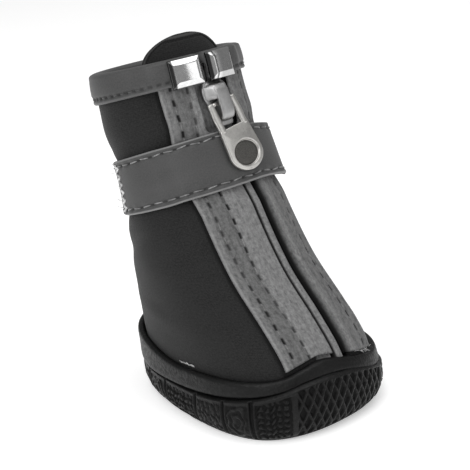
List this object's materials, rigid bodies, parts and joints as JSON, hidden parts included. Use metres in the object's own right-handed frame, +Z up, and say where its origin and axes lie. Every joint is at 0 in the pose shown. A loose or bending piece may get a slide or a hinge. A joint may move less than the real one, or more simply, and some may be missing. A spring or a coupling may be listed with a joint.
{
  "type": "dog shoe",
  "caption": "Dog boot with a rubber cup sole, softshell upper, front zip between reflective bands, ankle strap, bound collar and a tongue behind the zip.",
  "frame": {"origin": "middle of the tread, on the floor", "axes": "+X to the toe, +Y to the shoe's left, +Z up"},
  "size_m": [0.0804, 0.0524, 0.097],
  "materials": {
    "rubber": "moulded black rubber, satin",
    "softshell": "brushed charcoal knit",
    "reflective": "grey reflective cloth",
    "webbing": "dark grey coated cloth",
    "chrome": "bright plated",
    "nickel": "satin nickel plate"
  },
  "bodies": {
    "shoe": {"outsole": "rubber", "insole": "softshell", "upper": "softshell", "tongue": "softshell", "band_right": "reflective", "band_left": "reflective", "zip_tape_right": "reflective", "zip_tape_left": "reflective", "collar_binding": "webbing", "clip_right": "chrome", "clip_left": "chrome", "strap": "webbing", "slider": "nickel"},
    "puller": {"pull_tab": "nickel"}
  },
  "joints": [
    {"name": "puller_flip", "type": "hinge", "parent": "shoe", "child": "puller", "pos_m": [-0.00448, 0, 0.07972], "axis": [0.0489, -0.9903, -0.1303], "range_deg": [0, 135]}
  ]
}
